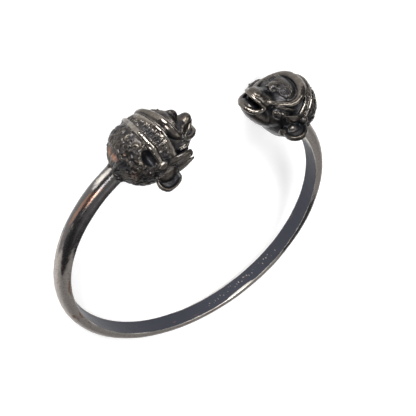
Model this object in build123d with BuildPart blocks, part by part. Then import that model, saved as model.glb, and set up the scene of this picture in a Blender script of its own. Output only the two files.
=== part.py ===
"""An open cuff bracelet in one cast and soldered piece, with a monkey's head at each end of its band.

The cuff lies on its side as on a table: +Z is up, -Y looks into the gap, and a head stands each side
of the YZ plane. It rests on one ear of each head and on the back of its band.

The band is a ring round the wrist axis, drawn first about the origin in the XY plane. A head is
modelled about the centre of its skull, with +X towards the gap (the face), +Y away from the wrist
(the crown) and +Z along the wrist axis (an ear). Its halves mirror each other across its XY plane.
"""

import os
from collections import namedtuple
from math import asin, atan2, cos, degrees, hypot, radians, sin, sqrt

from build123d import *

# The band, whose section is flat towards the wrist and round outside
wrist_diameter = 58.0
band_height = 3.76
band_thickness = 2.67

# The heads
skull_diameter = 11.7
head_angle = 31.0  # from the middle of the gap to the centre of a skull, about the wrist axis
band_into_skull = 3.0  # how far short of the skull's centre the band ends
skull_radius = skull_diameter / 2

# The wide headband over the crown, between two rims
headband_start = 0.18 * skull_radius  # ahead of the skull's centre
headband_width = 0.325 * skull_radius
headband_reach = 83.0  # degrees each side of the crown
headband_rise = 0.0376 * skull_radius  # above the skull
rim_diameter = 0.13 * skull_radius
stud_diameter = 0.154 * skull_radius
stud_count = 7
bead_diameter = 0.222 * skull_radius  # at each end of the rear rim

# The roll over the brow, and the ridge that runs on from it under the eye and along the muzzle
roll_diameter = 0.4786 * skull_radius
ridge_diameter = 0.1966 * skull_radius

# The tufts at the cheek and the jaw, like narrow leaves
leaf_diameter = 0.3248 * skull_radius

# The mouth
lip_diameter = 0.2137 * skull_radius
mouth_depth = 0.5812 * skull_radius
mouth_height = 0.376 * skull_radius
mouth_width = 0.923 * skull_radius

# The eyes, each a lid in a hollow socket
socket_diameter = 0.4615 * skull_radius
lid_diameter = 0.2906 * skull_radius

# The ears, round and dished
ear_diameter = 0.735 * skull_radius
ear_thickness = 0.205 * skull_radius
ear_edge_round = 0.0855 * skull_radius
ear_dish_diameter = 0.72 * ear_diameter
ear_dish_floor = 0.35 * ear_diameter
ear_dish_depth = 0.458 * ear_thickness
ear_turn = 40.0  # degrees that the dish looks forward of straight out

# The nostrils, each a curled wing
nostril_diameter = 0.3248 * skull_radius
nostril_wire = 0.106 * skull_radius

# Worked out from the sizes above
wrist_radius = wrist_diameter / 2
band_straight = band_thickness - band_height / 2
ring_radius = wrist_radius + band_thickness / 2

# Where each skull's centre sits: its side of the gap, and how far it stands off the band's own line,
# away from the wrist and up along the wrist axis. The two heads are soldered on a little unevenly.
Seat = namedtuple("Seat", "side out lift")
SEATS = [Seat(1, -0.4, 0.4), Seat(-1, 1.0, -0.5)]

# Ovals that make the solid masses of a head. The middle (ahead, up, side) and the length, height and
# width are shares of the skull's radius, and tip is the degrees by which the front end rises.
Oval = namedtuple("Oval", "name ahead up side length height width tip")
MIDDLE_OVALS = [
    Oval("face", 0.62, -0.04, 0.0, 1.24, 1.60, 1.76, 0.0),
    Oval("brow", 0.88, 0.46, 0.0, 0.76, 0.60, 1.16, -20.0),
    Oval("nose", 1.16, 0.36, 0.0, 0.70, 0.50, 0.50, -28.0),
    Oval("muzzle", 1.06, -0.02, 0.0, 1.40, 0.70, 1.20, -6.0),
    Oval("jaw", 0.90, -0.54, 0.0, 1.80, 0.74, 1.18, 4.0),
]
SIDE_OVALS = [
    Oval("cheek", 0.80, -0.04, 0.72, 0.84, 0.52, 0.44, -8.0),
    Oval("ear_root", 0.10, -0.30, 0.96, 0.50, 0.50, 0.60, 0.0),
]

# Lines through the middle of round bars, in the same shares
Along = namedtuple("Along", "ahead up side")
ROLL_LINE = [
    Along(0.80, 0.76, 0.0),
    Along(0.79, 0.65, 0.42),
    Along(0.80, 0.42, 0.68),
    Along(0.96, 0.22, 0.70),
]
RIDGE_LINE = [
    Along(0.96, 0.20, 0.72),
    Along(1.21, 0.12, 0.62),
    Along(1.42, 0.00, 0.50),
    Along(1.58, 0.02, 0.30),
]
UPPER_LIP = [
    Along(1.68, -0.08, 0.0),
    Along(1.58, -0.14, 0.32),
    Along(1.28, -0.30, 0.54),
]
LOWER_LIP = [
    Along(1.70, -0.57, 0.0),
    Along(1.58, -0.53, 0.34),
    Along(1.28, -0.34, 0.54),
]
CHEEK_LEAF = [
    Along(0.28, -0.20, 0.88),
    Along(0.66, -0.26, 0.92),
    Along(1.04, -0.22, 0.88),
]
JAW_LEAF = [
    Along(0.02, -0.62, 0.80),
    Along(0.40, -0.60, 0.86),
    Along(0.78, -0.52, 0.82),
]
EAR_MIDDLE = Along(0.23, -0.33, 1.20)
SOCKET_MIDDLE = Along(1.14, 0.46, 0.44)
LID_MIDDLE = Along(1.00, 0.40, 0.42)
NOSTRIL_MIDDLE = Along(1.34, 0.30, 0.16)
MOUTH_MIDDLE = Along(1.62, -0.32, 0.0)


def at(point):
    """The place of a point that is given in shares of the skull's radius."""
    return Vector(point.ahead, point.up, point.side) * skull_radius


def make_oval(length, height, width):
    """An oval about the origin, whose seam lies on its -Y side."""
    with BuildPart() as solid:
        with BuildSketch():
            Ellipse(length / 2, height / 2)
            split(bisect_by=Plane.XZ)
        revolve(axis=Axis.X)
        scale(by=(1, 1, width / height))
    return solid.part


def make_middle_oval(row):
    """The solid of one row of the middle ovals, at its place in the head."""
    sizes = [share * skull_radius for share in (row.length, row.height, row.width)]
    return make_oval(*sizes).moved(Location(at(row), (0, 0, row.tip)))


def make_side_oval(row):
    """The solid of one row of the side ovals, turned so that its seam is buried in the head."""
    sizes = [share * skull_radius for share in (row.length, row.width, row.height)]
    return make_oval(*sizes).moved(Location(at(row), (90, row.tip, 0)))


def make_rope(line, diameter):
    """A round bar along a smooth line, with a ball at each end."""
    points = [at(point) for point in line]
    with BuildPart() as rope:
        with BuildLine() as path:
            Spline(*points)
        with BuildSketch(Plane(path.line @ 0, z_dir=path.line % 0)):
            Circle(diameter / 2)
        sweep()
        with Locations(points[0], points[-1]):
            Sphere(diameter / 2)
    return rope.part


def skull_line_radius(ahead):
    """The skull's own radius about the X axis, at a distance ahead of its centre."""
    return sqrt(skull_radius**2 - ahead**2)


def make_headband():
    """The headband over the crown: a field between two rims, with a row of studs on it."""
    headband_end = headband_start + headband_width
    field_middle = headband_start + headband_width / 2
    start = Plane.XY.rotated((-headband_reach, 0, 0))
    with BuildPart() as headband:
        with BuildSketch(start):
            with BuildLine():
                Polyline(
                    (headband_start, 0),
                    (headband_start, skull_line_radius(headband_start) + headband_rise),
                    (headband_end, skull_line_radius(headband_end) + headband_rise),
                    (headband_end, 0),
                    close=True,
                )
            make_face()
        revolve(axis=Axis.X, revolution_arc=2 * headband_reach)
        for ahead in (headband_start, headband_end):
            with BuildSketch(start):
                with Locations((ahead, skull_line_radius(ahead) + headband_rise / 2)):
                    Circle(rim_diameter / 2)
            revolve(axis=Axis.X, revolution_arc=2 * headband_reach)
        stud_step = 2 * headband_reach / (stud_count + 1)
        for number in range(stud_count):
            turn = radians((number + 1) * stud_step - headband_reach)
            stud_radius = skull_line_radius(field_middle)
            with Locations((field_middle, stud_radius * cos(turn), stud_radius * sin(turn))):
                Sphere(stud_diameter / 2)
        bead_radius = skull_line_radius(headband_start)
        for turn in (-radians(headband_reach), radians(headband_reach)):
            with Locations((headband_start, bead_radius * cos(turn), bead_radius * sin(turn))):
                Sphere(bead_diameter / 2)
    return headband.part


def make_ear():
    """One ear, round and dished, at its place on the +Z side of the head."""
    ear_plane = Plane(at(EAR_MIDDLE), z_dir=(sin(radians(ear_turn)), 0, cos(radians(ear_turn))))
    with BuildPart(ear_plane) as ear:
        Cylinder(ear_diameter / 2, ear_thickness)
        fillet(ear.edges(), ear_edge_round)
        with Locations((0, 0, ear_thickness / 2)):
            Cone(ear_dish_floor / 2, ear_dish_diameter / 2, ear_dish_depth * 2, mode=Mode.SUBTRACT)
    return ear.part


def make_nostril():
    """The curled wing of one nostril, on the +Z side."""
    wing_plane = Plane(at(NOSTRIL_MIDDLE), z_dir=(1, 0.55, 0.35))
    with BuildPart(wing_plane) as nostril:
        Torus(nostril_diameter / 2 - nostril_wire / 2, nostril_wire / 2)
    return nostril.part


def make_head():
    """One whole head about the centre of its skull."""
    masses = [make_middle_oval(row) for row in MIDDLE_OVALS]
    mouth = make_oval(2 * mouth_depth, mouth_height, mouth_width)
    trim = [make_side_oval(row) for row in SIDE_OVALS]
    trim += [make_rope(ROLL_LINE, roll_diameter), make_rope(RIDGE_LINE, ridge_diameter)]
    trim += [make_rope(line, lip_diameter) for line in (UPPER_LIP, LOWER_LIP)]
    trim += [make_rope(line, leaf_diameter) for line in (CHEEK_LEAF, JAW_LEAF)]
    trim += [make_ear(), make_nostril()]
    headband = make_headband()
    with BuildPart() as head:
        Sphere(skull_radius)
        add(masses)
        with Locations(at(MOUTH_MIDDLE)):
            add(mouth, mode=Mode.SUBTRACT)
        with Locations(at(SOCKET_MIDDLE)):
            Sphere(socket_diameter / 2, mode=Mode.SUBTRACT)
        with Locations(at(LID_MIDDLE)):
            Sphere(lid_diameter / 2)
        add(trim)
        add(headband)
        split(bisect_by=Plane.XY)
        mirror(about=Plane.XY)
    return head.part


def make_band():
    """The open band about the wrist axis, from inside one skull to inside the other."""
    half_gap = head_angle + degrees(band_into_skull / ring_radius)
    with BuildPart() as band:
        with BuildSketch(Plane.XZ.rotated((0, 0, half_gap - 90))):
            with BuildLine():
                Polyline(
                    (wrist_radius + band_straight, -band_height / 2),
                    (wrist_radius, -band_height / 2),
                    (wrist_radius, band_height / 2),
                    (wrist_radius + band_straight, band_height / 2),
                )
                ThreePointArc(
                    (wrist_radius + band_straight, band_height / 2),
                    (wrist_radius + band_thickness, 0),
                    (wrist_radius + band_straight, -band_height / 2),
                )
            make_face()
        revolve(axis=Axis.Z, revolution_arc=360 - 2 * half_gap)
    return band.part


def skull_plane(seat):
    """The plane of a head at its seat: X towards the gap and Y away from the wrist."""
    turn = radians(head_angle - 90)
    out = ring_radius + seat.out
    middle = (seat.side * out * cos(turn), out * sin(turn), seat.lift)
    return Plane(middle, x_dir=(seat.side * sin(turn), -cos(turn), 0), z_dir=(0, 0, seat.side))


def ear_foot(seat):
    """The lowest point of a head's lower ear, in the band's own frame."""
    ear = at(EAR_MIDDLE)
    turn = radians(ear_turn)
    drop = ear.Z + ear_edge_round + (ear_diameter / 2 - ear_edge_round) * sin(turn)
    drop += (ear_thickness / 2 - ear_edge_round) * cos(turn)
    ahead = ear.X - (ear_diameter / 2 - ear_edge_round) * cos(turn)
    return skull_plane(seat).from_local_coords(Vector(ahead, ear.Y, -seat.side * drop))


def rest_location():
    """The turn that lays the cuff on its two lower ears and on the back of its band."""
    right_foot, left_foot = (ear_foot(seat) for seat in SEATS)
    lean = degrees(atan2(right_foot.Z - left_foot.Z, right_foot.X - left_foot.X))
    middle = (right_foot + left_foot) * 0.5
    back = wrist_radius + band_straight - middle.Y
    tilt = degrees(atan2(-middle.Z, back) - asin(band_height / 2 / hypot(back, middle.Z)))
    return Location((0, 0, 0), (-tilt, 0, 0)) * Location((0, 0, 0), (0, lean, 0))


def make_cuff():
    """The whole cuff as it rests, its lowest point at z = 0 under the middle of its own box."""
    head, band = make_head(), make_band()
    with BuildPart() as ring:
        add(band)
        for seat in SEATS:
            add(head.moved(skull_plane(seat).location))
    resting = ring.part.moved(rest_location())
    box = resting.bounding_box()
    with BuildPart() as solid:
        add(resting.moved(Location((-box.center().X, -box.center().Y, -box.min.Z))))
    return solid.part


os.makedirs("parts", exist_ok=True)
cuff = make_cuff()
cuff.label = "cuff"
export_step(cuff, "parts/cuff.step")
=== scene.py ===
"""An open cuff bracelet in dark worn metal, with a monkey's head at each end of its band.

The band and the two heads are separate pieces that stand for the one cast cuff. A head is modelled
in shares of its skull's radius: ahead towards the gap, up away from the wrist, and side along the
wrist axis. It is built up from masses and round bars, made one skin, cut, trimmed, and then chased
with fine strokes, before it is set on its end of the band.
"""

from __future__ import annotations

import logging
import math
import random
from collections.abc import Iterable, Sequence
from dataclasses import dataclass, replace
from enum import Enum

import bmesh
import bpy
import numpy as np
from mathutils import Euler, Matrix, Vector, noise
from mathutils.bvhtree import BVHTree
from mathutils.kdtree import KDTree


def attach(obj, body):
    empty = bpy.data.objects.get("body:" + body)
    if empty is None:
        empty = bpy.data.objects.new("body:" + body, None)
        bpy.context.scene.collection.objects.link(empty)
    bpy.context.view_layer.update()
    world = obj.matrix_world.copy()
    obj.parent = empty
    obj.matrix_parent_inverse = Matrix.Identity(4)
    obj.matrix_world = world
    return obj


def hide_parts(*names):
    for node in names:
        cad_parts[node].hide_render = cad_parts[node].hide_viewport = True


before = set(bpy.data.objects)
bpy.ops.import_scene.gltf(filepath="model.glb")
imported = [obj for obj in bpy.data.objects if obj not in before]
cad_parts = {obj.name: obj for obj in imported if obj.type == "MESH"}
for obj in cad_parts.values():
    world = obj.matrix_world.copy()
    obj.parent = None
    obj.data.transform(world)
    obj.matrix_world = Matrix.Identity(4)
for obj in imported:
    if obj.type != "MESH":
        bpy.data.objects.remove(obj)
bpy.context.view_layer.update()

LOG = logging.getLogger("cuff")
MM = 0.001
GOLDEN_TURN = 2.399963

Point = tuple[float, float, float]
Row = tuple[float, float, float, float]
Tone = tuple[float, float, float, float]


# Selecting, reading and the small steps that every piece is made with


def pick_only(*things: bpy.types.Object) -> None:
    """Select these objects and no others, with the first one active.

    Args:
        things: The objects to select.
    """
    bpy.ops.object.select_all(action="DESELECT")
    for thing in things:
        thing.select_set(True)
    bpy.context.view_layer.objects.active = things[0]


def settle(thing: bpy.types.Object) -> None:
    """Move an object's place, turn and size into its mesh."""
    pick_only(thing)
    bpy.ops.object.transform_apply(location=True, rotation=True, scale=True)


def join(things: Sequence[bpy.types.Object]) -> bpy.types.Object:
    """Join settled mesh objects into the first of them.

    Args:
        things: The objects.

    Returns:
        The joined object.
    """
    pick_only(*things)
    bpy.ops.object.join()
    return things[0]


def apply_modifier(thing: bpy.types.Object, kind: str, **settings: object) -> None:
    """Put a modifier on an object and apply it.

    Args:
        thing: The mesh object.
        kind: The modifier's type.
        settings: The modifier's settings by name.
    """
    pick_only(thing)
    modifier = thing.modifiers.new(kind.lower(), kind)
    for name, value in settings.items():
        setattr(modifier, name, value)
    bpy.ops.object.modifier_apply(modifier=modifier.name)


def one_skin(thing: bpy.types.Object, voxel: float, rounds: int) -> None:
    """Turn overlapping closed shells into one skin and ease its creases.

    Args:
        thing: The mesh object.
        voxel: The size of the skin's cells.
        rounds: How many times the skin is smoothed.
    """
    apply_modifier(thing, "REMESH", mode="VOXEL", voxel_size=voxel, use_smooth_shade=True)
    apply_modifier(thing, "SMOOTH", iterations=rounds, factor=0.5)


def vertex_rows(mesh: bpy.types.Mesh, what: str = "co") -> np.ndarray:
    """Read three numbers for each vertex.

    Args:
        mesh: The mesh to read.
        what: "co" for the places or "normal" for the normals.

    Returns:
        One row for each vertex.
    """
    rows = np.empty(len(mesh.vertices) * 3)
    mesh.vertices.foreach_get(what, rows)
    return rows.reshape(-1, 3)


def set_places(mesh: bpy.types.Mesh, rows: np.ndarray) -> None:
    """Move every vertex of a mesh to its row."""
    mesh.vertices.foreach_set("co", rows.ravel())
    mesh.update()


def write_share(mesh: bpy.types.Mesh, name: str, values: np.ndarray) -> None:
    """Keep one number for each vertex as an attribute, for the finish to read."""
    layer = mesh.attributes.new(name, "FLOAT", "POINT")
    layer.data.foreach_set("value", values.astype(np.float32))


def neighbour_mean(mesh: bpy.types.Mesh, values: np.ndarray, times: int) -> np.ndarray:
    """Average values over each vertex's neighbours, again and again.

    Args:
        mesh: The mesh whose edges join the neighbours.
        values: One row for each vertex.
        times: How many times to average.

    Returns:
        The averaged values.
    """
    edges = np.empty(len(mesh.edges) * 2, dtype=np.int64)
    mesh.edges.foreach_get("vertices", edges)
    start, end = edges.reshape(-1, 2).T
    count = len(mesh.vertices)
    degree = np.bincount(np.concatenate((start, end)), minlength=count).clip(1)
    for _ in range(times):
        columns = []
        for column in values.T:
            total = np.bincount(start, column[end], count) + np.bincount(end, column[start], count)
            columns.append(0.5 * column + 0.5 * total / degree)
        values = np.array(columns).T
    return values


def surface_tree(mesh: bpy.types.Mesh, rows: np.ndarray) -> BVHTree:
    """A tree of a mesh's faces, with its vertices at these rows."""
    return BVHTree.FromPolygons([tuple(row) for row in rows], [tuple(p.vertices) for p in mesh.polygons])


def nearest_tree(points: Sequence[Point]) -> KDTree:
    """A tree that finds the nearest of many points.

    Args:
        points: The points.

    Returns:
        The balanced tree.
    """
    tree = KDTree(len(points))
    for index, point in enumerate(points):
        tree.insert(point, index)
    tree.balance()
    return tree


def soft(value: float, middle: float, reach: float) -> float:
    """A smooth bump that is 1 at its middle and 0 from its reach on."""
    share = min(1.0, abs(value - middle) / max(reach, 1e-6))
    return (1 - share * share) ** 2


def ramp(values: np.ndarray, low: float, width: float) -> np.ndarray:
    """A straight rise from 0 at low to 1 at low plus width."""
    return np.clip((values - low) / width, 0.0, 1.0)


def ease(share: np.ndarray) -> np.ndarray:
    """The same rise from 0 to 1 with both its ends eased."""
    return share * share * (3 - 2 * share)


# The ring that the cuff is bent to


@dataclass(frozen=True)
class WristRing:
    """The circle along the middle of the band, as the cuff lies at rest.

    The angle runs about the wrist axis from the middle of the gap, positive towards +X.
    """

    middle: Point = (0.0, 1.45433, 5.68778)
    axis: Point = (0.030569, 0.124112, 0.991797)
    radius: float = 30.335

    @property
    def along(self) -> Vector:
        """The wrist axis."""
        return Vector(self.axis).normalized()

    @property
    def gapward(self) -> Vector:
        """The direction from the middle to the gap."""
        axis = self.along
        return Vector((0.0, -axis.z, axis.y)).normalized()

    @property
    def across(self) -> Vector:
        """The direction from the middle towards +X."""
        return self.along.cross(self.gapward)

    def out(self, angle: float) -> Vector:
        """The direction outwards at an angle in degrees from the middle of the gap."""
        turn = math.radians(angle)
        return self.gapward * math.cos(turn) + self.across * math.sin(turn)

    def place(self, angle: float, radius: float, lift: float) -> Vector:
        """A place in millimetres by its angle, its distance from the wrist axis and along it."""
        return Vector(self.middle) + self.out(angle) * radius + self.along * lift

    def read(self, spot: Vector) -> Point:
        """Find a place about the ring.

        Args:
            spot: The place in millimetres.

        Returns:
            Its angle, its distance from the wrist axis and its distance along it.
        """
        arm = spot - Vector(self.middle)
        turn = math.degrees(math.atan2(arm.dot(self.across), arm.dot(self.gapward)))
        lift = arm.dot(self.along)
        return turn, (arm - self.along * lift).length, lift


RING = WristRing()


class Side(Enum):
    """The two ends of the band, by the side of the gap that they stand on."""

    RIGHT = 1
    LEFT = -1


@dataclass(frozen=True)
class Seat:
    """Where a head sits on its end of the band."""

    side: Side
    out: float
    lift: float
    angle: float = 31.0

    def matrix(self, skull_radius: float) -> Matrix:
        """The move from shares of the skull's radius to metres at rest.

        Args:
            skull_radius: The skull's radius in millimetres.

        Returns:
            The matrix that takes a head from its own frame to its place.
        """
        sign = self.side.value
        middle = RING.place(sign * self.angle, RING.radius + self.out, self.lift)
        crown = RING.out(sign * self.angle)
        side = RING.along * sign
        turn = Matrix((crown.cross(side), crown, side)).transposed().to_4x4()
        turn = turn @ Matrix.Scale(skull_radius * MM, 4)
        turn.translation = middle * MM
        return turn


# Relief that is chased into a skin


@dataclass(frozen=True)
class Stroke:
    """One chased line: a smooth ridge where height is positive, a groove where it is negative."""

    points: tuple[Point, ...]
    width: float
    height: float
    pointed: bool = True

    def spots(self) -> list[tuple[Vector, float]]:
        """Walk along the line in small steps.

        Returns:
            Each place with the share of the steps that lies before it.
        """
        line = [Vector(point) for point in self.points]
        spots = []
        for start, end in zip(line, line[1:]):
            steps = max(1, math.ceil((end - start).length / (0.3 * self.width)))
            spots += [start.lerp(end, step / steps) for step in range(steps)]
        last = len(spots)
        return [(spot, number / last) for number, spot in enumerate([*spots, line[-1]])]


class Chasing:
    """Strokes pressed into the skin of one mesh."""

    def __init__(self, mesh: bpy.types.Mesh) -> None:
        """Take hold of a mesh.

        Args:
            mesh: The skin to chase.
        """
        self.mesh = mesh
        self.rows = vertex_rows(mesh)
        self.tree = surface_tree(mesh, self.rows)
        self.near = nearest_tree(self.rows)
        self.raised = np.zeros(len(self.rows))
        self.sunk = np.zeros(len(self.rows))

    def press(self, stroke: Stroke) -> None:
        """Work one stroke into the skin.

        Args:
            stroke: The line to chase.
        """
        for point, share in stroke.spots():
            spot = self.tree.find_nearest(point)[0]
            taper = math.sin(math.pi * (0.12 + 0.76 * share)) ** 0.7 if stroke.pointed else 1.0
            width = stroke.width * (0.55 + 0.45 * taper)
            for _, index, gap in self.near.find_range(spot, width):
                amount = stroke.height * taper * (0.5 + 0.5 * math.cos(math.pi * gap / width))
                if amount > self.raised[index]:
                    self.raised[index] = amount
                elif amount < self.sunk[index]:
                    self.sunk[index] = amount

    def finish(self) -> None:
        """Move the skin by what has been pressed."""
        moved = self.raised + self.sunk
        set_places(self.mesh, self.rows + vertex_rows(self.mesh, "normal") * moved[:, None])


def spiral(
    middle: Vector, first: Vector, second: Vector, size: float, turns: float, start: float
) -> tuple[Point, ...]:
    """A curl that winds in to its middle.

    Args:
        middle: The middle of the curl.
        first: One direction across the curl.
        second: The other direction across the curl.
        size: The curl's outer radius.
        turns: How many turns it makes, negative to wind the other way.
        start: Degrees at which its outer end lies.

    Returns:
        The points of the curl.
    """
    count = max(8, int(abs(turns) * 14))
    points = []
    for step in range(count + 1):
        share = step / count
        angle = math.radians(start) + 2 * math.pi * turns * share
        reach = size * (1 - 0.78 * share)
        points.append(tuple(middle + first * reach * math.cos(angle) + second * reach * math.sin(angle)))
    return tuple(points)


def shelter(skin: bpy.types.Mesh, rows: np.ndarray, outwards: np.ndarray) -> np.ndarray:
    """How much of the sky over each vertex is hidden by the skin itself, from 0 to 1.

    Args:
        skin: The mesh.
        rows: The place of each vertex.
        outwards: The normal at each vertex.

    Returns:
        One number for each vertex.
    """
    tree = surface_tree(skin, rows)
    count, off_skin, reach = 12, 0.02, 0.7
    rays = []
    for number in range(count):
        height = 1 - (number + 0.5) / count * 0.85
        angle = number * GOLDEN_TURN
        flat = math.sqrt(1 - height * height)
        rays.append(Vector((flat * math.cos(angle), flat * math.sin(angle), height)))
    hidden = np.zeros(len(rows))
    up = Vector((0.0, 0.0, 1.0))
    for index, row in enumerate(rows):
        normal = Vector(outwards[index])
        turn = up.rotation_difference(normal)
        start = Vector(row) + normal * off_skin
        met = sum(tree.ray_cast(start, turn @ ray, reach)[0] is not None for ray in rays)
        hidden[index] = met / count
    return neighbour_mean(skin, hidden[:, None], 2)[:, 0]


# The heads


@dataclass(frozen=True)
class Mass:
    """An oval mass of a head: its middle and its full sizes, in shares of the skull's radius."""

    name: str
    ahead: float
    up: float
    side: float
    length: float
    height: float
    width: float
    tip: float = 0.0
    splay: float = 0.0


@dataclass(frozen=True)
class Bar:
    """A round bar of varying thickness, as rows of ahead, up, side and radius, and how it shines."""

    name: str
    rows: tuple[Row, ...]
    paired: bool = True
    polish: float = 0.85

    def mirrored(self) -> Bar:
        """The same bar on the other side."""
        return replace(self, rows=tuple((ahead, up, -side, radius) for ahead, up, side, radius in self.rows))

    def both(self) -> list[Bar]:
        """This bar, and the one on the other side if it is one of a pair."""
        return [self, self.mirrored()] if self.paired else [self]


@dataclass(frozen=True)
class Rim:
    """One bar of the headband: its place over the crown, its rise off the skull and its radius."""

    name: str
    ahead: float
    proud: float
    radius: float
    polish: float = 0.0


@dataclass(frozen=True)
class Curl:
    """A curl on the skull: its place by share ahead and degrees from the crown, and its winding."""

    ahead: float
    degrees: float
    size: float
    turns: float
    start: float


@dataclass(frozen=True)
class Spot:
    """A spot rubbed through to the copper tone on both sides of a head."""

    ahead: float
    up: float
    side: float
    reach: float
    strength: float


@dataclass(frozen=True)
class Hatching:
    """Like strokes side by side: the first one's points, the move of each point, width and height."""

    count: int
    points: tuple[Point, ...]
    moves: tuple[Point, ...]
    width: float
    height: float

    def strokes(self, sign: int) -> Iterable[Stroke]:
        """Every stroke on one side of the head.

        Args:
            sign: Which side of the head, 1 or -1.

        Yields:
            The strokes.
        """
        for number in range(self.count):
            line = tuple(
                (a + da * number, up + dup * number, (side + dside * number) * sign)
                for (a, up, side), (da, dup, dside) in zip(self.points, self.moves)
            )
            yield Stroke(line, self.width, self.height)


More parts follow.
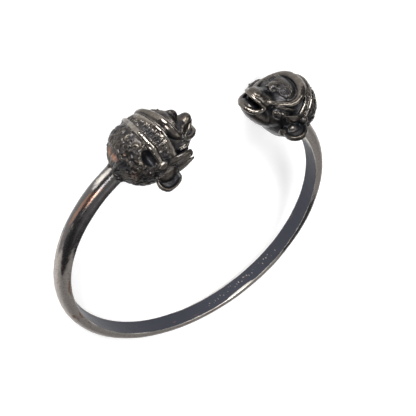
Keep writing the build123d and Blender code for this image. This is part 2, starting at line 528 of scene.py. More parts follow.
@dataclass
class MonkeyHead:
    """One cast monkey's head with a headband, a rolled brow and an open mouth."""

    name: str
    seat: Seat
    seed: int
    skew: float
    yaw: float
    pinch: float
    cheek_lift: float
    leaf_reach: float
    ear_place: Point
    ear_facing: Point
    ear_size: float
    nose_size: float = 1.0
    skull_radius: float = 5.85
    coarse_voxel: float = 0.030
    fine_voxel: float = 0.0198
    lean: float = 0.02
    ear_radius: float = 0.37
    ear_depth: float = 0.16
    ear_dish: tuple[tuple[float, float], ...] = ((0.06, 0.0), (0.08, -0.07), (0.12, 0.02))
    ear_rim: tuple[float, float] = (0.33, 0.045)
    leaf_root: float = 0.3
    unevenness: float = 0.005
    polish_fall: tuple[float, float, float] = (2.1, 1.4, 0.02)
    copper_spread: float = 1.3
    rim_end: int = 84
    field_middle: float = 0.27
    masses: tuple[Mass, ...] = (
        Mass("skull", 0.0, 0.0, 0.0, 2.0, 2.0, 2.0),
        Mass("face", 0.60, -0.04, 0.0, 1.16, 1.56, 1.70),
        Mass("brow", 0.84, 0.48, 0.0, 0.66, 0.60, 1.20, -24.0),
        Mass("nose", 1.14, 0.42, 0.0, 0.42, 0.36, 0.38, -24.0),
        Mass("muzzle", 1.12, -0.06, 0.0, 1.24, 0.54, 1.02, -4.0),
        Mass("lip", 1.57, -0.02, 0.0, 0.50, 0.34, 0.58),
        Mass("jaw", 0.86, -0.55, 0.0, 1.68, 0.68, 1.10, 4.0),
    )
    side_masses: tuple[Mass, ...] = (
        Mass("cheek", 0.80, -0.06, 0.68, 0.80, 0.50, 0.44, -8.0),
        Mass("ear_root", 0.12, -0.36, 0.96, 0.50, 0.50, 0.44),
        Mass("muzzle_side", 1.28, -0.12, 0.30, 0.68, 0.28, 0.34, -4.0),
    )
    mouth_hollow: Mass = Mass("mouth", 1.70, -0.30, 0.0, 1.10, 0.36, 0.86)
    socket: Mass = Mass("socket", 1.42, 0.55, 0.47, 1.0, 0.66, 0.64, -14.0)
    leaf_hollow: Mass = Mass("hollow", 0.0, 0.0, 0.0, 0.32, 0.60, 0.50)
    tongue: Mass = Mass("tongue", 1.34, -0.43, 0.0, 0.74, 0.26, 0.72, 4.0)
    trims: tuple[Bar, ...] = (
        Bar("roll", (
            (0.60, 0.92, -0.10, 0.14), (0.60, 0.92, 0.10, 0.14), (0.60, 0.86, 0.38, 0.145),
            (0.61, 0.69, 0.59, 0.14), (0.65, 0.51, 0.69, 0.13), (0.74, 0.37, 0.72, 0.115),
            (0.88, 0.24, 0.69, 0.10), (1.04, 0.14, 0.62, 0.09), (1.19, 0.06, 0.52, 0.08),
            (1.31, 0.01, 0.41, 0.07), (1.40, 0.00, 0.27, 0.05),
        )),
        Bar("upper_lip", (
            (1.74, -0.12, -0.12, 0.068), (1.74, -0.12, 0.12, 0.068), (1.64, -0.13, 0.30, 0.066),
            (1.49, -0.16, 0.42, 0.062), (1.34, -0.19, 0.48, 0.055),
        )),
        Bar("lower_lip", (
            (1.68, -0.54, -0.12, 0.095), (1.68, -0.54, 0.12, 0.095), (1.60, -0.52, 0.28, 0.095),
            (1.48, -0.45, 0.41, 0.09), (1.37, -0.33, 0.47, 0.075), (1.30, -0.21, 0.48, 0.06),
        )),
        Bar("cheek_leaf_upper", (
            (0.26, -0.04, 0.95, 0.07), (0.44, -0.05, 0.99, 0.10), (0.68, -0.12, 1.01, 0.09),
            (0.92, -0.20, 0.98, 0.06), (1.16, -0.24, 0.93, 0.012),
        ), polish=0.4),
        Bar("cheek_leaf_middle", (
            (0.26, -0.12, 0.95, 0.07), (0.46, -0.17, 1.00, 0.10), (0.70, -0.23, 1.01, 0.10),
            (0.92, -0.26, 0.97, 0.06), (1.14, -0.25, 0.93, 0.012),
        ), polish=0.4),
        Bar("cheek_leaf_lower", (
            (0.26, -0.18, 0.95, 0.07), (0.44, -0.28, 0.97, 0.09), (0.66, -0.34, 0.96, 0.08),
            (0.88, -0.32, 0.94, 0.055), (1.08, -0.27, 0.93, 0.012),
        ), polish=0.4),
        Bar("jaw_leaf_upper", (
            (0.04, -0.50, 0.84, 0.09), (0.30, -0.49, 0.91, 0.11), (0.52, -0.50, 0.95, 0.10),
            (0.74, -0.51, 0.96, 0.06), (0.92, -0.52, 0.96, 0.012),
        ), polish=0.4),
        Bar("jaw_leaf_lower", (
            (0.00, -0.60, 0.78, 0.09), (0.26, -0.63, 0.83, 0.11), (0.48, -0.62, 0.88, 0.10),
            (0.70, -0.57, 0.93, 0.06), (0.90, -0.53, 0.96, 0.012),
        ), polish=0.4),
        Bar("cheek_ridge", (
            (0.60, 0.04, 0.90, 0.035), (0.80, 0.00, 0.90, 0.045), (1.00, -0.07, 0.83, 0.045),
            (1.18, -0.16, 0.70, 0.035),
        )),
        Bar("nose_bridge", (
            (1.16, 0.42, -0.19, 0.026), (1.23, 0.51, -0.12, 0.030), (1.26, 0.53, 0.00, 0.030),
            (1.23, 0.51, 0.12, 0.030), (1.16, 0.42, 0.19, 0.026),
        ), paired=False, polish=0.4),
        Bar("nose_wing", (
            (1.33, 0.36, 0.04, 0.025), (1.32, 0.29, 0.10, 0.034), (1.25, 0.28, 0.16, 0.034),
            (1.18, 0.34, 0.19, 0.025),
        ), polish=0.4),
    )
    rims: tuple[Rim, ...] = (
        Rim("rear_rim", 0.13, 0.045, 0.056, 1.0),
        Rim("field_rear", 0.22, -0.030, 0.055),
        Rim("field_front", 0.31, -0.010, 0.060),
        Rim("front_rim", 0.40, 0.065, 0.055, 1.0),
    )
    curls: tuple[Curl, ...] = (
        Curl(-0.10, 12, 0.13, 1.0, 20), Curl(-0.10, 33, 0.13, -0.9, 120),
        Curl(-0.30, 0, 0.12, -1.0, 220), Curl(-0.28, 20, 0.13, 0.9, 200),
        Curl(-0.30, 40, 0.14, -1.0, 60), Curl(-0.48, 8, 0.12, 0.9, 320),
        Curl(-0.50, 28, 0.14, -1.0, 250), Curl(-0.52, 50, 0.13, 1.0, 150),
        Curl(-0.30, 62, 0.12, -0.9, 10), Curl(-0.44, 64, 0.14, 1.0, 100),
        Curl(-0.62, 78, 0.14, 0.9, 150), Curl(-0.36, 82, 0.14, -1.0, 30),
        Curl(-0.16, 90, 0.13, 1.0, 210), Curl(-0.16, 106, 0.14, 0.9, 80),
        Curl(-0.42, 104, 0.14, -1.0, 180), Curl(-0.60, 100, 0.12, 1.0, 300),
    )
    hatchings: tuple[Hatching, ...] = (
        Hatching(5, ((0.96, 0.73, 0.22), (0.94, 0.72, 0.38), (0.93, 0.69, 0.54)),
                 ((0.0, -0.075, 0.0),) * 3, 0.042, 0.045),
        Hatching(7, ((0.66, 0.20, 0.92), (0.90, 0.18, 0.90), (1.08, 0.15, 0.80)),
                 ((0.0, -0.075, 0.0),) * 3, 0.03, -0.028),
        Hatching(5, ((0.44, -0.04, 1.06), (0.86, -0.12, 1.02)),
                 ((0.05, -0.055, 0.0), (0.03, -0.025, 0.0)), 0.028, -0.022),
        Hatching(4, ((1.06, 0.68, 0.05), (1.16, 0.58, 0.04), (1.22, 0.48, 0.03)),
                 ((0.0, 0.0, 0.07), (0.0, 0.0, 0.056), (0.0, 0.0, 0.042)), 0.03, -0.02),
    )
    copper: tuple[Spot, ...] = (
        Spot(-0.74, 0.66, 0.16, 0.18, 0.85), Spot(-0.46, 0.79, 0.41, 0.14, 0.55),
        Spot(-0.54, 0.25, 0.80, 0.26, 0.6), Spot(-0.58, 0.00, 0.82, 0.20, 0.5),
        Spot(0.44, 0.05, 1.02, 0.22, 0.4), Spot(0.74, 0.36, 0.86, 0.26, 0.40),
        Spot(0.98, 0.16, 0.76, 0.20, 0.35), Spot(1.60, -0.12, 0.36, 0.20, 0.40),
        Spot(1.55, -0.50, 0.38, 0.18, 0.30), Spot(0.14, 0.06, 1.05, 0.18, 0.50),
    )

    def build(self) -> bpy.types.Object:
        """Model the whole head and set it on the band.

        Returns:
            The finished head, in metres at rest.
        """
        head = join([self.mass(row) for row in self.all_masses()])
        head.name = self.name
        head.data.name = self.name
        one_skin(head, self.coarse_voxel, 6)
        self.cut(head, self.mouth())
        for sign in (1, -1):
            self.cut(head, self.mass(replace(self.socket, side=self.socket.side * sign)))
        for sign in (1, -1):
            self.cut(head, self.deep_leaf(sign))
        trims = [self.mass(self.tongue), *self.trim_pieces(), *self.headband(), *self.ears(), *self.neck()]
        head = join([head, *trims])
        one_skin(head, self.fine_voxel, 3)
        self.chase(head.data)
        self.read_wear_and_shade(head.data)
        self.lean_face(head.data)
        head.data.transform(self.seat.matrix(self.skull_radius))
        head.data.update()
        return head

    def all_masses(self) -> list[Mass]:
        """Gather the masses of both sides, with this head's own size of nose.

        Returns:
            The masses.
        """
        swell = self.nose_size
        middle = [
            replace(row, length=row.length * swell, height=row.height * swell, width=row.width * swell)
            if row.name == "nose" else row
            for row in self.masses
        ]
        mirrored = [replace(row, side=-row.side, splay=-row.splay) for row in self.side_masses]
        return [*middle, *self.side_masses, *mirrored]

    def mass(self, row: Mass) -> bpy.types.Object:
        """Model one oval mass.

        Args:
            row: The mass.

        Returns:
            The closed oval.
        """
        bpy.ops.mesh.primitive_uv_sphere_add(
            segments=40,
            ring_count=24,
            radius=0.5,
            location=(row.ahead, row.up, row.side),
            rotation=(0.0, math.radians(row.splay), math.radians(row.tip)),
        )
        oval = bpy.context.object
        oval.name = row.name
        oval.scale = (row.length, row.height, row.width)
        settle(oval)
        return oval

    def cut(self, head: bpy.types.Object, tool: bpy.types.Object) -> None:
        """Cut a closed shape, which is used up, out of the head."""
        apply_modifier(head, "BOOLEAN", object=tool, operation="DIFFERENCE", solver="EXACT")
        bpy.data.objects.remove(tool, do_unlink=True)

    def mouth(self) -> bpy.types.Object:
        """Model the hollow between the lips, wider at the front.

        Returns:
            The closed shape to cut.
        """
        hollow = self.mass(self.mouth_hollow)
        rows = vertex_rows(hollow.data)
        opening = ramp(rows[:, 0], 1.2, 0.6)
        middle = self.mouth_hollow.up
        rows[:, 1] = middle + (rows[:, 1] - middle) * (0.55 + 0.45 * opening)
        rows[:, 1] -= 0.03 * opening
        set_places(hollow.data, rows)
        return hollow

    def deep_leaf(self, sign: int) -> bpy.types.Object:
        """Model the deep leaf-shaped hollow behind the headband, above one ear.

        Args:
            sign: Which side of the head, 1 or -1.

        Returns:
            The closed shape to cut.
        """
        degrees = 60
        hollow = self.mass(self.leaf_hollow)
        rows = vertex_rows(hollow.data)
        rows[:, :2] *= (1 - 0.45 * np.clip(rows[:, 2:] / 0.22, -1, 1) ** 2)
        rows[:, 0] *= 1 - 0.55 * np.clip(rows[:, 1] / 0.30, -1, 1) ** 2
        set_places(hollow.data, rows)
        hollow.rotation_euler = Euler((math.radians(90 + degrees) * sign, 0.0, 0.0))
        hollow.location = self.on_skull(0.0, degrees * sign)
        settle(hollow)
        return hollow

    def lean_face(self, skin: bpy.types.Mesh) -> None:
        """Lean, turn and pinch the front of the head, as the two castings differ a little.

        Args:
            skin: The head's skin, in shares of the skull's radius.
        """
        rows = vertex_rows(skin)
        place = rows[:, 0].copy()
        rows[:, 0] += self.skew * np.maximum(rows[:, 1], -0.15) * ease(ramp(place, -0.1, 0.6))
        rows[:, 0] += self.yaw * rows[:, 2] * ease(ramp(place, -0.1, 0.8) * (1 - ramp(place, 0.8, 0.5)))
        rows[:, 2] *= 1 - self.pinch * ease(ramp(rows[:, 0], 1.1, 0.35))
        set_places(skin, rows)

    def bar(self, row: Bar) -> bpy.types.Object:
        """Model one round bar as a smooth curve of varying thickness with round ends.

        Args:
            row: The bar.

        Returns:
            The closed bar.
        """
        curve = bpy.data.curves.new(row.name, "CURVE")
        curve.dimensions = "3D"
        curve.bevel_depth = 1.0
        curve.bevel_resolution = 5
        curve.use_fill_caps = True
        curve.resolution_u = 6
        spline = curve.splines.new("NURBS")
        spline.points.add(len(row.rows) - 1)
        for point, (*place, radius) in zip(spline.points, row.rows):
            point.co = (*place, 1.0)
            point.radius = radius
        spline.order_u = 3
        spline.use_endpoint_u = True
        piece = bpy.data.objects.new(row.name, curve)
        bpy.context.collection.objects.link(piece)
        pick_only(piece)
        bpy.ops.object.convert(target="MESH")
        ends = []
        for *place, radius in (row.rows[0], row.rows[-1]):
            bpy.ops.mesh.primitive_ico_sphere_add(subdivisions=3, radius=radius, location=place)
            settle(bpy.context.object)
            ends.append(bpy.context.object)
        return join([piece, *ends])

    def trim_pieces(self) -> list[bpy.types.Object]:
        """Model the bars of the face on both sides, with the leaves lifted and drawn out for this head.

        Returns:
            The closed bars.
        """
        pieces = []
        for row in self.trims:
            if "leaf" in row.name or "cheek" in row.name:
                lift = self.cheek_lift if "cheek" in row.name else 0.0
                reach = self.leaf_reach if "leaf" in row.name else 1.0
                root = self.leaf_root
                moved = tuple((root + (a - root) * reach, up + lift, side, r) for a, up, side, r in row.rows)
                row = replace(row, rows=moved)
            pieces += [self.bar(one) for one in row.both()]
        return pieces

    def on_band(self, ahead: float, degrees: float, proud: float) -> Vector:
        """A place on the headband, which leans a little at the sides.

        Args:
            ahead: Its place over the crown.
            degrees: The angle from the crown.
            proud: How far it stands off the skull.

        Returns:
            The place.
        """
        place = ahead + self.lean * math.sin(math.radians(1.8 * degrees)) ** 2
        turn = math.radians(degrees)
        reach = math.sqrt(max(0.0, 1 - place * place)) + proud
        return Vector((place, reach * math.cos(turn), reach * math.sin(turn)))

    def rim_line(self, rim: Rim) -> tuple[Row, ...]:
        """The rows of one bar of the headband.

        Args:
            rim: The bar.

        Returns:
            Rows of ahead, up, side and radius.
        """
        rows = []
        for degrees in range(-self.rim_end, self.rim_end + 1, 4):
            thick = rim.radius * (0.92 + 0.08 * math.sin(degrees * 0.13 + rim.ahead * 9))
            rows.append((*self.on_band(rim.ahead, degrees, rim.proud), thick))
        return tuple(rows)

    def headband(self) -> list[bpy.types.Object]:
        """Model the bars of the headband, and the knob at each end of the rear one.

        Returns:
            The closed pieces.
        """
        pieces = [self.bar(Bar(rim.name, self.rim_line(rim))) for rim in self.rims]
        for degrees in (-self.rim_end, self.rim_end):
            knob = self.on_band(self.rims[0].ahead, degrees, 0.04)
            pieces.append(self.mass(Mass("knob", *knob, 0.30, 0.28, 0.30)))
        return pieces

    def ears(self) -> list[bpy.types.Object]:
        """Model both ears, each a thick dished disc with a rolled edge.

        Returns:
            The two ears.
        """
        pieces = []
        for sign in (1, -1):
            bpy.ops.mesh.primitive_cylinder_add(vertices=64, radius=self.ear_radius, depth=self.ear_depth)
            ear = bpy.context.object
            ear.name = "ear"
            bpy.ops.object.mode_set(mode="EDIT")
            form = bmesh.from_edit_mesh(ear.data)
            for face in form.faces:
                face.select_set(face.normal.z > 0.9)
            bmesh.update_edit_mesh(ear.data)
            for thickness, depth in self.ear_dish:
                bpy.ops.mesh.inset(thickness=thickness, depth=depth)
            bpy.ops.object.mode_set(mode="OBJECT")
            major, minor = self.ear_rim
            bpy.ops.mesh.primitive_torus_add(
                major_radius=major, minor_radius=minor, major_segments=64, minor_segments=16,
                location=(0.0, 0.0, 0.05),
            )
            ear = join([ear, bpy.context.object])
            outward = Vector((*self.ear_facing[:2], self.ear_facing[2] * sign))
            ear.rotation_euler = outward.to_track_quat("Z", "Y").to_euler()
            ear.location = (*self.ear_place[:2], self.ear_place[2] * sign)
            ear.scale = (self.ear_size, self.ear_size, self.ear_size)
            settle(ear)
            pieces.append(ear)
        return pieces

    def neck(self) -> list[bpy.types.Object]:
        """Model lumps of solder round the place where the band goes in.

        Returns:
            The lumps.
        """
        chance = random.Random(self.seed)
        count = 14
        pieces = []
        for number in range(count):
            turn = 2 * math.pi * (number + chance.uniform(-0.3, 0.3)) / count
            size = chance.uniform(0.12, 0.24)
            ahead = -0.93 + chance.uniform(-0.05, 0.03)
            up, side = 0.20 * math.cos(turn) - 0.04, 0.30 * math.sin(turn)
            lump = Mass("solder", ahead, up, side, size * 1.2, size, size, chance.uniform(-40, 40))
            pieces.append(self.mass(lump))
        return pieces

    def chase(self, skin: bpy.types.Mesh) -> None:
        """Chase the fine lines of the face, the fur and the ornament, and roughen the casting.

        Args:
            skin: The head's skin.
        """
        work = Chasing(skin)
        for stroke in self.strokes():
            work.press(stroke)
        work.finish()
        rows, outwards = vertex_rows(skin), vertex_rows(skin, "normal")
        uneven = np.array(
            [noise.noise(Vector(row) * 5.0) * 0.6 + noise.noise(Vector(row) * 13.0) for row in rows]
        )
        set_places(skin, rows + outwards * (uneven * self.unevenness)[:, None])
        write_share(skin, "copper_spot", self.copper_spots(rows))
        write_share(skin, "polish", self.polish(rows))

    def polish(self, rows: np.ndarray) -> np.ndarray:
        """How much handling has polished each spot: the roll, the lips and the rims most.

        Args:
            rows: The place of each vertex.

        Returns:
            One number for each vertex, from 0 to 1.
        """
        bars = [Bar(rim.name, self.rim_line(rim), polish=rim.polish) for rim in self.rims if rim.polish]
        for row in self.trims:
            bars += row.both()
        points, radii, shares = [], [], []
        for row in bars:
            for first, second in zip(row.rows, row.rows[1:]):
                for step in range(5):
                    *place, radius = (x + (y - x) * step / 5 for x, y in zip(first, second))
                    points.append(place)
                    radii.append(radius)
                    shares.append(row.polish)
        near = nearest_tree(points)
        full, fall, margin = self.polish_fall
        total = np.zeros(len(rows))
        for index, row in enumerate(rows):
            _, found, gap = near.find(row)
            total[index] = shares[found] * min(1.0, max(0.0, full - fall * gap / (radii[found] + margin)))
        return total

    def copper_spots(self, rows: np.ndarray) -> np.ndarray:
        """Where the dark skin has been rubbed through to the copper tone.

        Args:
            rows: The place of each vertex.

        Returns:
            One number for each vertex, from 0 to 1.
        """
        total = np.zeros(len(rows))
        for spot in self.copper:
            gaps = rows - np.array((spot.ahead, spot.up, spot.side))
            gaps[:, 2] = np.abs(rows[:, 2]) - spot.side
            share = np.clip(1 - np.linalg.norm(gaps, axis=1) / (spot.reach * self.copper_spread), 0.0, 1.0)
            total = np.maximum(total, spot.strength * share * (2 - share))
        return total

    def strokes(self) -> Iterable[Stroke]:
        """Draw every chased line of the head.

        Yields:
            The strokes.
        """
        chance = random.Random(self.seed + 100)
        for sign in (1, -1):
            yield from self.skull_curls(chance, sign)
            yield from self.band_ornament(chance, sign)
            yield from self.fur(chance, sign)
            yield from self.face_lines(sign)

    def on_skull(self, ahead: float, degrees: float) -> Vector:
        """Find a place on the skull.

        Args:
            ahead: How far ahead of the middle it is.
            degrees: Its angle from the crown.

        Returns:
            The place.
        """
        turn = math.radians(degrees)
        reach = math.sqrt(max(0.02, 1 - ahead * ahead))
        return Vector((ahead, reach * math.cos(turn), reach * math.sin(turn)))

    def skull_curls(self, chance: random.Random, sign: int) -> Iterable[Stroke]:
        """The curls on one side of the skull, each with three small locks round it.

        Args:
            chance: The source of small irregularities.
            sign: Which side of the head, 1 or -1.

        Yields:
            The strokes.
        """
        for curl in self.curls:
            middle = self.on_skull(curl.ahead, curl.degrees * sign)
            out = middle.normalized()
            first = out.cross(Vector((0.0, 0.3, 1.0 * sign))).normalized()
            second = out.cross(first)
            size = curl.size * chance.uniform(0.85, 1.1)
            yield Stroke(spiral(middle, first, second, size, curl.turns * 0.8, curl.start), 0.075, 0.044)
            for step in range(3):
                angle = math.radians(curl.start + 120 * step + chance.uniform(-25, 25))
                spot = middle + (first * math.cos(angle) + second * math.sin(angle)) * size * 1.45
                end = spot + (first * chance.uniform(-1, 1) + second * chance.uniform(-1, 1)) * 0.07
                yield Stroke((tuple(spot), tuple(end)), 0.065, chance.uniform(0.02, 0.04), False)

    def band_ornament(self, chance: random.Random, sign: int) -> Iterable[Stroke]:
        """The scrolls and leaves between the rims of the headband, on one side.

        Args:
            chance: The source of small irregularities.
            sign: Which side of the head, 1 or -1.

        Yields:
            The strokes.
        """
        ahead = Vector((1.0, 0.0, 0.0))
        for number, degrees in enumerate(range(8, 80, 16)):
            middle = self.on_band(self.field_middle, degrees * sign, 0.03)
            along = Vector((0.2, middle.y, middle.z)).normalized().cross(ahead) * sign
            size = 0.075 * chance.uniform(0.9, 1.1)
            start = 90 * number + chance.uniform(-40, 40)
            turns = 0.7 if number % 2 else -0.7
            yield Stroke(spiral(middle, ahead, along, size, turns, start), 0.050, 0.045)
            for side in (-1, 1):
                begin = middle + along * 0.13 + ahead * 0.02 * side
                yield Stroke((tuple(begin), tuple(begin + ahead * 0.05 * side + along * 0.04)), 0.045, 0.04)

    def fur(self, chance: random.Random, sign: int) -> Iterable[Stroke]:
        """Combed hair on the back of the skull, the neck and under the jaw, on one side.

        Args:
            chance: The source of small irregularities.
            sign: Which side of the head, 1 or -1.

        Yields:
            The strokes.
        """
        for ahead in (-0.86, -0.70, -0.54, -0.38, -0.22, -0.06):
            reach = math.sqrt(1 - ahead * ahead)
            for degrees in np.arange(4.0 if ahead < -0.6 else 112.0, 178.0, 7.0 / reach):
                turn = degrees + chance.uniform(-1.5, 1.5)
                line = (self.on_skull(ahead - 0.09 + 0.05 * s, (turn + 2.2 * s) * sign) for s in range(4))
                yield Stroke(tuple(map(tuple, line)), 0.038, 0.022 if chance.random() < 0.8 else -0.018)

    def face_lines(self, sign: int) -> Iterable[Stroke]:
        """The creases, lashes, hatching and cheek dots on one side of the face.

        Args:
            sign: Which side of the head, 1 or -1.

        Yields:
            The strokes.
        """
        for hatching in self.hatchings:
            yield from hatching.strokes(sign)
        for degrees in range(-40, 200, 20):
            turn = math.radians(degrees)
            yield Stroke(
                tuple(
                    (0.95, 0.52 + reach * math.sin(turn), (0.46 + reach * 0.9 * math.cos(turn)) * sign)
                    for reach in (0.15, 0.30)
                ),
                0.028,
                -0.022,
            )
        for ahead, up, side in ((0.98, -0.02, 0.93), (1.08, -0.06, 0.88)):
            yield Stroke(((ahead, up, side * sign), (ahead + 0.01, up, side * sign)), 0.06, 0.06, False)

    def read_wear_and_shade(self, skin: bpy.types.Mesh) -> None:
        """Measure how proud and how sharp each spot is, for the worn finish, and how sheltered it is, for
        the painted shade and patina in the hollows.

        Args:
            skin: The head's skin.
        """
        rows, outwards = vertex_rows(skin), vertex_rows(skin, "normal")
        for name, times in (("edge", 8), ("proud", 60)):
            stands = ((rows - neighbour_mean(skin, rows, times)) * outwards).sum(axis=1)
            write_share(skin, name, stands / self.fine_voxel)
        # Shelter drives the painted shade in the hollows, along with the patina there.
        write_share(skin, "shelter", shelter(skin, rows, outwards))


# The band


@dataclass(frozen=True)
class Tick:
    """A plain mark punched inside the band: its middle and its reach, round the ring and along its axis."""

    turn: float
    lift: float
    length: float
    height: float

    def depth(self, turn: float, lift: float) -> float:
        """How deep it is at a place, from 0 to 1."""
        return soft(turn, self.turn, self.length) * soft(lift, self.lift, self.height)


@dataclass
class Band:
    """The open band, flat towards the wrist and round outside, drawn by hand."""

    name: str = "band"
    wrist_radius: float = 29.0
    height: float = 3.76
    thickness: float = 2.67
    edge_round: float = 0.10
    edge_wear: float = 0.35
    half_gap: float = 36.6
    steps: int = 840
    tick_count: int = 30
    tick_start: float = -124.0
    tick_pitch: float = 1.45
    tick_depth: float = 0.06
    ticked: tuple[float, float] = (-172.0, -118.0)

    def section(self) -> list[tuple[float, float]]:
        """Draw the band's section.

        Returns:
            Distances out from the wrist axis and along it, in order round the section.
        """
        half, edge, inner = self.height / 2, self.edge_round, self.wrist_radius
        wall = inner + self.thickness - half
        shoulder = inner + 0.5 * (wall - inner)
        corner = []
        for step in (1, 2, 3):
            angle = math.radians(30 * step)
            corner.append((inner + edge * (1 - math.cos(angle)), half - edge + edge * math.sin(angle)))
        points = [(inner, (half - edge) * (1 - step / 7)) for step in range(15)]
        points += [(out, -lift) for out, lift in corner]
        points.append((shoulder, -half))
        for step in range(25):
            angle = math.radians(-90 + 180 * step / 24)
            points.append((wall + half * math.cos(angle), half * math.sin(angle)))
        return [*points, (shoulder, half), *reversed(corner)]

    def build(self) -> bpy.types.Object:
        """Spin the section round the wrist and work it by hand.

        Returns:
            The finished band, in metres at rest.
        """
        section = self.section()
        bpy.ops.mesh.primitive_circle_add(vertices=len(section), radius=1.0, fill_type="NOTHING")
        band = bpy.context.object
        band.name = self.name
        band.data.name = self.name
        for vertex, (out, lift) in zip(band.data.vertices, section):
            vertex.co = RING.place(self.half_gap, out, lift) * MM
        settle(band)
        bpy.ops.object.mode_set(mode="EDIT")
        bpy.ops.mesh.select_all(action="SELECT")
        bpy.ops.mesh.spin(
            steps=self.steps,
            angle=math.radians(360 - 2 * self.half_gap),
            center=Vector(RING.middle) * MM,
            axis=-RING.along,
            use_normal_flip=False,
        )
        bpy.ops.object.mode_set(mode="OBJECT")
        self.close_ends(band)
        self.work_surface(band.data)
        return band

    def close_ends(self, band: bpy.types.Object) -> None:
        """Close the two ends, which are buried in the heads, and turn all faces outwards.

        Args:
            band: The band.
        """
        pick_only(band)
        bpy.ops.object.mode_set(mode="EDIT")
        bpy.ops.mesh.select_mode(type="EDGE")
        for sign in (1, -1):
            bpy.ops.mesh.select_all(action="DESELECT")
            form = bmesh.from_edit_mesh(band.data)
            for edge in form.edges:
                middle = (edge.verts[0].co + edge.verts[1].co) / 2
                on_side = (middle / MM - Vector(RING.middle)).dot(RING.across) * sign > 0
                edge.select_set(edge.is_boundary and on_side)
            bmesh.update_edit_mesh(band.data)
            bpy.ops.mesh.edge_face_add()
        bpy.ops.mesh.select_all(action="SELECT")
        bpy.ops.mesh.normals_make_consistent(inside=False)
        bpy.ops.object.mode_set(mode="OBJECT")
        bpy.ops.object.shade_smooth_by_angle(angle=math.radians(40))

    def work_surface(self, skin: bpy.types.Mesh) -> None:
        """Move the skin by the small unevenness of hand work, and note the wear on it, along with a painted
        highlight by the right head's neck that is kept in the worn share.

        Args:
            skin: The band's mesh, in metres.
        """
        rows, outwards = vertex_rows(skin), vertex_rows(skin, "normal")
        names = ("inside", "worn", "brown", "dark", "streak")
        shares = np.zeros((len(rows), len(names)))
        moved = np.zeros(len(rows))
        ticks = self.ticks()
        for index, row in enumerate(rows):
            spot = Vector(row) / MM
            turn, out, lift = RING.read(spot)
            inside = bool(outwards[index] @ np.array(RING.out(turn)) < -0.7)
            worn, brown, dark = self.wear(inside, turn, out, lift)
            depth = 0.0
            if inside and self.ticked[0] < turn < self.ticked[1]:
                depth = max(tick.depth(turn, lift) for tick in ticks)
                worn += 0.75 * depth
            broad = noise.noise(Vector((turn * 0.10, lift * 1.6, out * 0.8)))
            fine = noise.noise(Vector((turn * 0.5, lift * 5.0, out * 2.0)))
            shares[index] = (inside, worn, brown, dark, broad + 0.4 * fine)
            dent = self.tick_depth * depth
            moved[index] = 0.055 * noise.noise(spot * 0.16) + 0.018 * noise.noise(spot * 0.7) - dent
        set_places(skin, rows + outwards * (moved * MM)[:, None])
        for name, values in zip(names, shares.T):
            write_share(skin, name, values)

    def wear(self, inside: bool, turn: float, out: float, lift: float) -> Point:
        """How worn, how brown and how dark the band is at a place; the worn share also carries a painted
        highlight by the right head's neck.

        Args:
            inside: Whether the place is on the flat towards the wrist.
            turn: Its angle in degrees from the middle of the gap.
            out: Its distance from the wrist axis.
            lift: Its distance along the axis.

        Returns:
            The three shares.
        """
        near_flat = abs(out - self.wrist_radius) < self.edge_wear
        worn = 0.55 if near_flat and abs(lift) > self.height / 2 - self.edge_wear else 0.0
        if inside:
            worn += soft(turn, -149.0, 11.0) * soft(lift, 1.55, 0.42) * 1.6
            return worn + 0.7 * soft(turn, -48.0, 19.0), 0.0, 0.0
        # Painted highlight, not wear: a pale patch on the outside by the right head's neck.
        worn += 0.75 * soft(turn, 46.0, 10.0) * soft(lift, 0.4, 1.2)
        brown = soft(turn, 57.0, 18.0) * soft(lift, 1.4 - 0.04 * (turn - 43.0), 0.7)
        if lift > 1.2 and abs(turn) > 90.0:
            brown = 0.9 * soft(out - self.wrist_radius, 0.55, 0.32)
        dark = (soft(turn, 55.0, 34.0 + 5.0 * lift), soft(turn, -36.0, 14.0), 0.8 * soft(turn, -105.0, 40.0))
        return worn, brown, max(dark)

    def ticks(self) -> list[Tick]:
        """Set out the row of ticks, some long and some high.

        Returns:
            The ticks.
        """
        chance = random.Random(5)
        ticks = []
        for number in range(self.tick_count):
            turn = self.tick_start - self.tick_pitch * number + chance.uniform(-0.3, 0.3)
            length, height = (0.66, 0.30) if chance.random() < 0.5 else (0.40, 0.66)
            ticks.append(Tick(turn, chance.uniform(-0.9, 0.5), length, height))
        return ticks


# Finishes


class Value:
    """One output of a node, on which sums are written as plain Python."""

    def __init__(self, graph: Graph, socket: bpy.types.NodeSocket) -> None:
        """Wrap an output of a node tree."""
        self.graph = graph
        self.socket = socket

    def _sum(self, operation: str, first: object, second: object) -> Value:
        """Add a Math node of two values."""
        return self.graph.node("ShaderNodeMath", {"operation": operation}, {0: first, 1: second})

    def __add__(self, other: object) -> Value:
        """This plus another."""
        return self._sum("ADD", self, other)

    def __radd__(self, other: object) -> Value:
        """Another plus this."""
        return self._sum("ADD", other, self)

    def __sub__(self, other: object) -> Value:
        """This minus another."""
        return self._sum("SUBTRACT", self, other)

    def __rsub__(self, other: object) -> Value:
        """Another minus this."""
        return self._sum("SUBTRACT", other, self)

    def __mul__(self, other: object) -> Value:
        """This times another."""
        return self._sum("MULTIPLY", self, other)

    def __rmul__(self, other: object) -> Value:
        """Another times this."""
        return self._sum("MULTIPLY", other, self)

    def step(self, low: float, high: float) -> Value:
        """A smooth step from 0 at low to 1 at high, or down where low is the larger.

        Args:
            low: Where it is 0.
            high: Where it is 1.

        Returns:
            The stepped value.
        """
        if low > high:
            return 1 - self.step(high, low)
        inputs = {"Value": self, "From Min": low, "From Max": high}
        return self.graph.node("ShaderNodeMapRange", {"interpolation_type": "SMOOTHSTEP"}, inputs)


